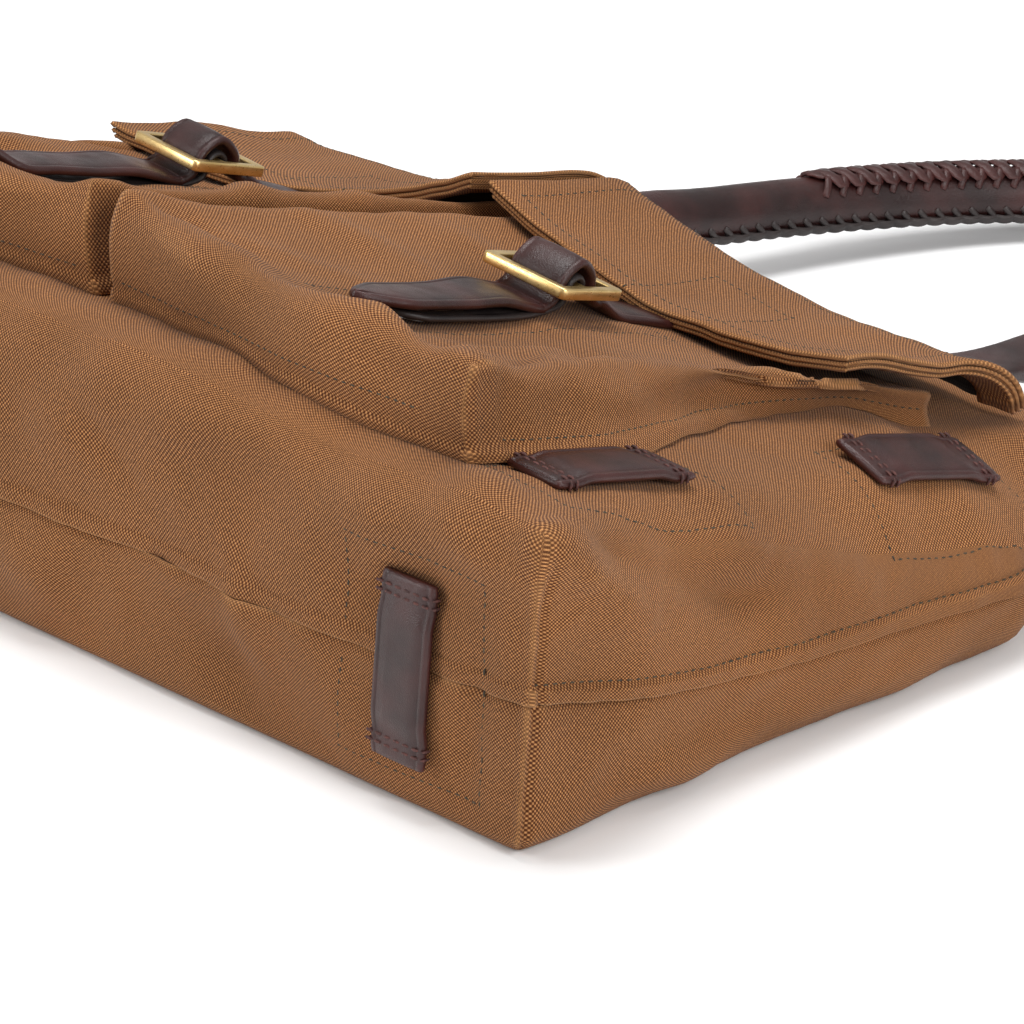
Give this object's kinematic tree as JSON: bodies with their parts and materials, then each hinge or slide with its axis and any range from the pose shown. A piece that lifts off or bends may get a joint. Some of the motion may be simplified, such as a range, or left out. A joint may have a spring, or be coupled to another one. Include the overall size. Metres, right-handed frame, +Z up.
{
  "type": "doctor bag",
  "caption": "Canvas doctor bag lying on its back, with flapped bellows pockets, buckled leather straps, sewn-on loops and laced leather handles.",
  "frame": {"origin": "middle of the whole object's box in X and Y, on the surface the bag lies on", "axes": "+X across the bag to its right side, +Y from its bottom to its mouth and handles, +Z up from its back panel to its front"},
  "size_m": [0.449, 0.5972, 0.134],
  "materials": {
    "canvas": "washed heavy cotton canvas, tan brown, visible weave",
    "leather": "dark reddish-brown waxed leather with fine grain",
    "lining": "near-black cotton lining",
    "zip_cloth": "dark brown woven zip tape",
    "handle_core": "natural cotton rope",
    "brass": "satin antique brass",
    "frame_steel": "plain bright spring steel"
  },
  "bodies": {
    "root": {"front_panel": "canvas", "back_panel": "canvas", "front_lining": "lining", "back_lining": "lining", "frame_bar_back": "frame_steel", "frame_pin_left": "frame_steel", "frame_pin_right": "frame_steel", "zip_tape_back": "zip_cloth", "zip_end_left": "leather", "zip_end_right": "leather", "handle_tab_back_left": "leather", "handle_tab_back_right": "leather", "pocket_face_left": "canvas", "pocket_gusset_left": "canvas", "snap_magnet_left": "frame_steel", "side_loop_lower_left": "leather", "side_loop_upper_left": "leather", "bottom_loop_left": "leather", "pocket_face_right": "canvas", "pocket_gusset_right": "canvas", "snap_magnet_right": "frame_steel", "side_loop_lower_right": "leather", "side_loop_upper_right": "leather", "bottom_loop_right": "leather"},
    "mouth_front": {"front_band": "canvas", "frame_bar_front": "frame_steel", "zip_tape_front": "zip_cloth", "handle_tab_front_left": "leather", "handle_tab_front_right": "leather"},
    "zip_slider": {"zip_slider": "brass"},
    "zip_puller": {"zip_puller": "brass"},
    "flap_left": {"flap_left": "canvas", "flap_lining_left": "lining", "flap_strap_left": "leather", "base_strap_left": "leather", "snap_stud_left": "frame_steel"},
    "buckle_left": {"buckle_left": "brass"},
    "flap_right": {"flap_right": "canvas", "flap_lining_right": "lining", "flap_strap_right": "leather", "base_strap_right": "leather", "snap_stud_right": "frame_steel"},
    "buckle_right": {"buckle_right": "brass"},
    "front_handle": {"handle_cover_front": "leather", "handle_core_front": "handle_core", "handle_wrap_front": "leather"},
    "back_handle": {"handle_cover_back": "leather", "handle_core_back": "handle_core", "handle_wrap_back": "leather"}
  },
  "joints": [
    {"name": "mouth_open", "type": "hinge", "parent": "root", "child": "mouth_front", "pos_m": [0, -0.0202, 0.032], "axis": [-1, 0, 0], "range_deg": [-28, 0]},
    {"name": "zip_slide", "type": "slide", "parent": "root", "child": "zip_slider", "axis": [-1, 0, 0], "range_m": [0, 0.3]},
    {"name": "zip_puller_turn", "type": "hinge", "parent": "zip_slider", "child": "zip_puller", "pos_m": [0.15, 0.0142, 0.032], "axis": [0, 0, 1], "range_deg": [0, 165]},
    {"name": "flap_left_open", "type": "hinge", "parent": "root", "child": "flap_left", "pos_m": [-0.084, -0.0212, 0.05929], "axis": [-1, 0, 0], "range_deg": [0, 100]},
    {"name": "buckle_left_tilt", "type": "hinge", "parent": "flap_left", "child": "buckle_left", "pos_m": [-0.084, -0.1452, 0.10549], "axis": [1, 0, 0], "range_deg": [-3, 3]},
    {"name": "flap_right_open", "type": "hinge", "parent": "root", "child": "flap_right", "pos_m": [0.084, -0.0212, 0.05929], "axis": [-1, 0, 0], "range_deg": [0, 100]},
    {"name": "buckle_right_tilt", "type": "hinge", "parent": "flap_right", "child": "buckle_right", "pos_m": [0.084, -0.1452, 0.10549], "axis": [1, 0, 0], "range_deg": [-3, 3]},
    {"name": "front_handle_fold", "type": "hinge", "parent": "mouth_front", "child": "front_handle", "pos_m": [0, 0.0163, 0.0422], "axis": [-1, 0, 0], "range_deg": [-90, 0]},
    {"name": "back_handle_swing", "type": "hinge", "parent": "root", "child": "back_handle", "pos_m": [0, 0.0138, 0.02], "axis": [1, 0, 0], "range_deg": [0, 160]}
  ]
}
